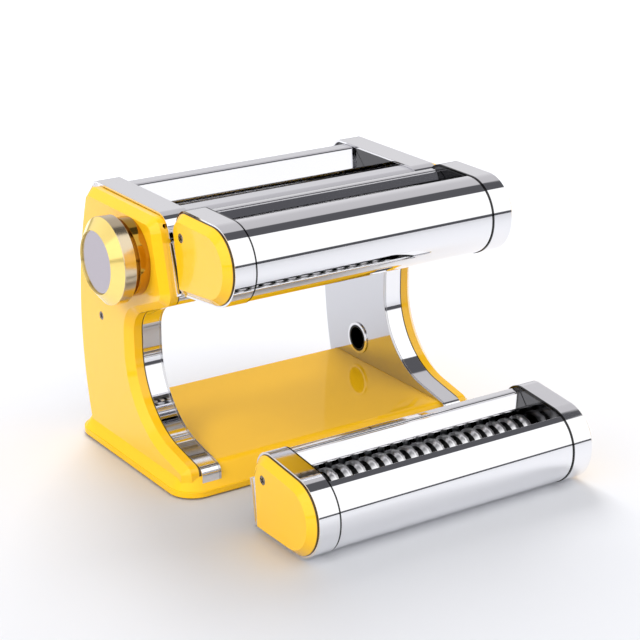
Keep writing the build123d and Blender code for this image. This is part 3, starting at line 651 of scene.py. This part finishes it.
class NOODLE_OT_screws(bpy.types.Operator):
    """Cross-recessed screws in the cheeks and end covers"""

    bl_idname = "noodle.screws"
    bl_label = "Screws"

    def execute(self, context):
        settings = context.scene.noodle_screw
        dark = surface("screw_dark", turned_finish(SCREW_STEEL, 0.20, 0.36, 300.0))
        bodies = {
            "cheek_screws": "machine",
            "fine_cover_screws": "fine_head",
            "wide_cover_screws": "wide_head",
        }
        for node, body in bodies.items():
            corners = corners_of(node)
            low, high = box_of(corners)
            middle = (low.x + high.x) / 2
            heads = []
            for side in (-1, 1):
                own = [c for c in corners if (c.x - middle) * side > 0]
                heads.append(self.screw(own, side, settings))
            bpy.ops.object.select_all(action="DESELECT")
            for head in heads:
                head.select_set(True)
            context.view_layer.objects.active = heads[0]
            bpy.ops.object.join()
            piece = context.object
            piece.name = f"{node}_crossed"
            piece.data.materials.clear()
            piece.data.materials.append(dark)
            bpy.ops.object.shade_smooth_by_angle(angle=math.radians(35))
            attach(piece, body)
            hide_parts(node)
        return {"FINISHED"}

    def screw(self, corners, side, settings):
        """A head with a cross recess, flush with the outer end of its solid."""
        low, high = box_of(corners)
        outer = high.x if side > 0 else low.x
        radius = (high.y - low.y) / 2
        place = Vector((outer - side * settings.head / 2, (low.y + high.y) / 2, (low.z + high.z) / 2))
        turn = (0.0, math.pi / 2, 0.0)
        bpy.ops.object.select_all(action="DESELECT")
        bpy.ops.mesh.primitive_cylinder_add(
            vertices=40, radius=radius, depth=settings.head, location=place, rotation=turn)
        head = bpy.context.object
        bpy.ops.object.transform_apply(location=True, rotation=True, scale=True)
        bpy.ops.object.mode_set(mode="EDIT")
        bpy.ops.mesh.select_all(action="SELECT")
        bpy.ops.mesh.bevel(offset=settings.dome, segments=3, profile=0.5, affect="EDGES")
        bpy.ops.object.mode_set(mode="OBJECT")
        for tilt in (settings.slot_turn, settings.slot_turn + math.pi / 2):
            self.cut_arm(head, place, outer, radius, tilt, settings)
        return head

    def cut_arm(self, head, place, outer, radius, tilt, settings):
        """Cut one arm of the cross into a head."""
        length = 2 * radius * settings.slot_share
        bpy.ops.object.select_all(action="DESELECT")
        bpy.ops.mesh.primitive_cube_add(
            size=1.0, location=(outer, place.y, place.z), rotation=(tilt, 0.0, 0.0))
        arm = bpy.context.object
        arm.scale = (2 * settings.slot_depth, settings.slot, length)
        bpy.ops.object.transform_apply(location=True, rotation=True, scale=True)
        bpy.ops.object.select_all(action="DESELECT")
        bpy.context.view_layer.objects.active = head
        head.select_set(True)
        cut = head.modifiers.new("arm", "BOOLEAN")
        cut.operation = "DIFFERENCE"
        cut.solver = "EXACT"
        cut.object = arm
        bpy.ops.object.modifier_apply(modifier=cut.name)
        bpy.data.objects.remove(arm, do_unlink=True)


class NOODLE_OT_dial(bpy.types.Operator):
    """Thickness dial: lacquered knob with a metal rim, a steel boss and a grey cap; the gold tint on rim
    and boss is a painted reflection of the yellow cheek
    """

    bl_idname = "noodle.dial"
    bl_label = "Dial"

    def execute(self, context):
        paint = context.scene.noodle_paint
        metal = context.scene.noodle_metal
        widest = max(corners_of("dial_knob"), key=lambda c: (round(c.z, 5), -c.x))
        lacquer = surface("dial_lacquer", dial_finish(paint.dial, metal.rim, widest.x))
        steel = surface("dial_steel", chrome_finish(metal.boss_painted_reflection, 0.06, 0.14))
        cap = surface("dial_cap_grey", chrome_finish(paint.cap, 0.12, 0.20))
        dress_all(["dial_knob"], lacquer, metal.edge_bevel)
        dress_all(["dial_boss"], steel, metal.edge_bevel)
        dress_all(["dial_cap"], cap)
        return {"FINISHED"}


class NOODLE_OT_stage(bpy.types.Operator):
    """Pale floor, soft studio light and the camera"""

    bl_idname = "noodle.stage"
    bl_label = "Studio"

    def execute(self, context):
        settings = context.scene.noodle_stage
        floor = self.floor(settings)
        self.surroundings(context.scene)
        self.lights(floor, settings)
        self.camera(context.scene, settings)
        context.scene.view_settings.view_transform = "Standard"
        return {"FINISHED"}

    def floor(self, settings):
        bpy.ops.object.select_all(action="DESELECT")
        bpy.ops.mesh.primitive_circle_add(vertices=96, radius=settings.floor_radius, fill_type="NGON")
        floor = bpy.context.object
        floor.name = "studio_floor"

        def build(finish):
            cloud = finish.noise(finish.coords(), 3.0, 2.0)
            return {
                "Base Color": finish.blend((0.83, 0.84, 0.87, 1.0), (0.85, 0.86, 0.89, 1.0), cloud),
                "Roughness": 0.65,
            }

        floor.data.materials.append(surface("studio_floor", build))
        return floor

    def surroundings(self, scene):
        """White walls in front, grey ones behind, a dark slot overhead and a thin dark skirting."""
        world = bpy.data.worlds.new("studio")
        world.use_nodes = True
        scene.world = world
        finish = Finish(world.node_tree)
        direction = finish.node("ShaderNodeTexCoord", out="Generated")
        depth = finish.axis(direction, "Y")
        height = finish.axis(direction, "Z")
        back_stops = [
            (0.0, (0.70, 0.70, 0.71, 1.0)),
            (0.35, (0.76, 0.75, 0.77, 1.0)),
            (0.60, (0.60, 0.59, 0.61, 1.0)),
            (1.0, (0.55, 0.54, 0.56, 1.0)),
        ]
        back = finish.node("ShaderNodeValToRGB", {"stops": back_stops}, {"Fac": height})
        white_wall = (1.2, 1.2, 1.2, 1.0)
        slot_dark = (0.10, 0.10, 0.11, 1.0)
        skirting_dark = (0.09, 0.09, 0.10, 1.0)
        room = finish.blend(white_wall, back, depth.rise(0.12, 0.20))
        slot = height.rise(0.75, 0.78) * depth.rise(-0.185, -0.165) * (1.0 - depth.rise(0.20, 0.25))
        room = finish.blend(room, slot_dark, slot)
        room = finish.blend(skirting_dark, room, height.rise(0.045, 0.075))
        background = finish.tree.nodes.new("ShaderNodeBackground")
        finish.feed(background.inputs["Color"], room)
        output = finish.tree.nodes.new("ShaderNodeOutputWorld")
        finish.tree.links.new(background.outputs["Background"], output.inputs["Surface"])

    def lights(self, floor, settings):
        """Soft boxes; those in front are flagged off the floor, so its shadow falls forward."""
        soft_boxes = [
            ("key_left", (-1.5, -0.2, 1.2), (0.0, 0.0, 0.05), 1.0, settings.key_power, True),
            ("fill_front", (-0.7, -1.5, 0.9), (0.0, 0.0, 0.03), 1.0, settings.fill_power, True),
            ("top_back", (0.45, 1.1, 1.4), (0.0, -0.05, 0.0), 0.9, settings.back_power, False),
        ]
        flagged = bpy.data.collections.new("flagged_off")
        flagged.objects.link(floor)
        flagged.collection_objects[0].light_linking.link_state = "EXCLUDE"
        for name, place, target, size, power, flag in soft_boxes:
            bpy.ops.object.light_add(type="AREA", location=place)
            lamp = bpy.context.object
            lamp.name = name
            lamp.data.shape = "SQUARE"
            lamp.data.size = size
            lamp.data.energy = power
            lamp.visible_glossy = False
            if flag:
                lamp.light_linking.receiver_collection = flagged
            lamp.rotation_euler = (Vector(target) - Vector(place)).to_track_quat("-Z", "Y").to_euler()

    def camera(self, scene, settings):
        place = Vector(settings.camera_place)
        target = Vector(settings.camera_target)
        bpy.ops.object.camera_add(location=place)
        camera = bpy.context.object
        camera.name = "photo_camera"
        camera.rotation_euler = (target - place).to_track_quat("-Z", "Y").to_euler()
        camera.data.sensor_width = 36.0
        camera.data.lens = settings.lens
        camera.data.clip_start = 0.01
        camera.data.clip_end = 50.0
        scene.camera = camera


class NOODLE_PT_panel(bpy.types.Panel):
    """Buttons and settings of the pasta machine"""

    bl_idname = "NOODLE_PT_panel"
    bl_label = "Pasta machine"
    bl_space_type = "VIEW_3D"
    bl_region_type = "UI"
    bl_category = "Pasta machine"

    def draw(self, context):
        layout = self.layout
        for operator in operators:
            layout.operator(operator.bl_idname)
        for group in groups:
            settings = getattr(context.scene, group)
            for name in settings.bl_rna.properties.keys():
                if name not in ("rna_type", "name"):
                    layout.prop(settings, name)


groups = {
    "noodle_paint": PaintSettings, "noodle_metal": MetalSettings,
    "noodle_plate": PlateSettings, "noodle_screw": ScrewSettings, "noodle_stage": StageSettings,
}
operators = [
    NOODLE_OT_enamel, NOODLE_OT_chrome, NOODLE_OT_plates, NOODLE_OT_works,
    NOODLE_OT_screws, NOODLE_OT_dial, NOODLE_OT_stage,
]


def register():
    for group in [*groups.values(), *operators, NOODLE_PT_panel]:
        bpy.utils.register_class(group)
    for name, group in groups.items():
        setattr(bpy.types.Scene, name, bpy.props.PointerProperty(type=group))


def unregister():
    for name in groups:
        delattr(bpy.types.Scene, name)
    for group in [NOODLE_PT_panel, *operators, *groups.values()]:
        bpy.utils.unregister_class(group)


def main():
    register()
    bpy.ops.noodle.enamel()
    bpy.ops.noodle.chrome()
    bpy.ops.noodle.plates()
    bpy.ops.noodle.works()
    bpy.ops.noodle.screws()
    bpy.ops.noodle.dial()
    bpy.ops.noodle.stage()


if __name__ == "__main__":
    main()
